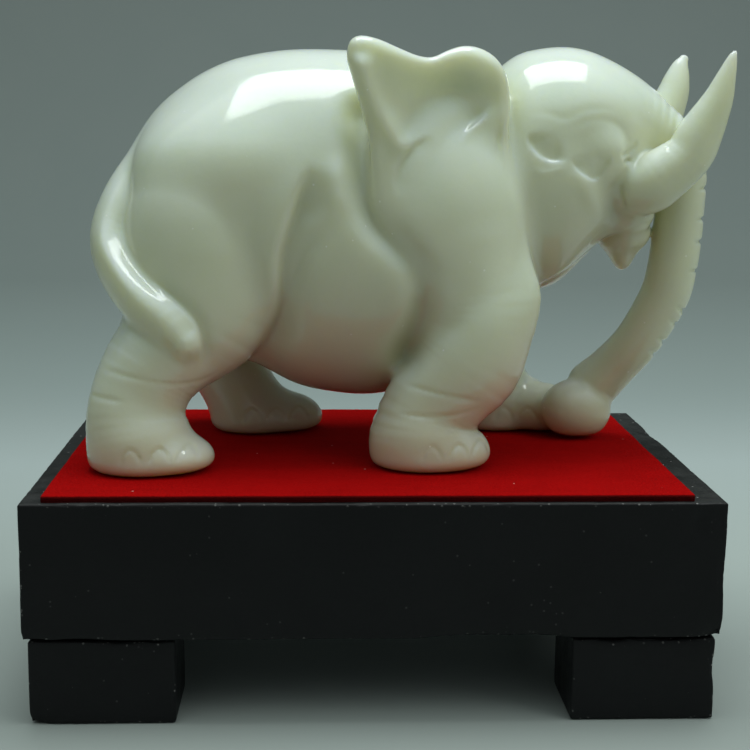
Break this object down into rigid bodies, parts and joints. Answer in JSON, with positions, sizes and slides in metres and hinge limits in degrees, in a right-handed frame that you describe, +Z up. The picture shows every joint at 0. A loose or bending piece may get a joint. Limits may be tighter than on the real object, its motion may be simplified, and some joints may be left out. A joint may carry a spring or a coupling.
{
  "type": "jade elephant figurine on a wooden stand",
  "caption": "Polished pale-green stone elephant with raised tusks and lowered trunk, loose on a black painted wooden plinth with a red velvet pad.",
  "frame": {"origin": "on the plane the feet rest on, under the middle of the whole object's footprint (tusk tips included)", "axes": "+X towards the elephant's head along the stand's long side, +Y from the front of the stand to its back, +Z up"},
  "size_m": [0.2102, 0.14, 0.1945],
  "materials": {
    "jade": "polished translucent pale celadon jade",
    "red_velvet": "short-pile flocked velvet",
    "grey_board": "raw grey board",
    "black_paint": "wood under satin black paint",
    "zinc_steel": "zinc-plated steel"
  },
  "bodies": {
    "stand": {"plinth_block": "black_paint", "pad_board": "grey_board", "velvet_sheet": "red_velvet", "foot_front_left": "black_paint", "foot_front_right": "black_paint", "foot_back_left": "black_paint", "foot_back_right": "black_paint", "foot_screw_front_left_outer": "zinc_steel", "foot_screw_front_left_inner": "zinc_steel", "foot_screw_front_right_outer": "zinc_steel", "foot_screw_front_right_inner": "zinc_steel", "foot_screw_back_left_outer": "zinc_steel", "foot_screw_back_left_inner": "zinc_steel", "foot_screw_back_right_outer": "zinc_steel", "foot_screw_back_right_inner": "zinc_steel"},
    "carving": {"elephant_carving": "jade"}
  },
  "joints": [
    {"name": "carving_lift", "type": "slide", "parent": "stand", "child": "carving", "axis": [0, 0, 1], "range_m": [0, 0.12]}
  ]
}
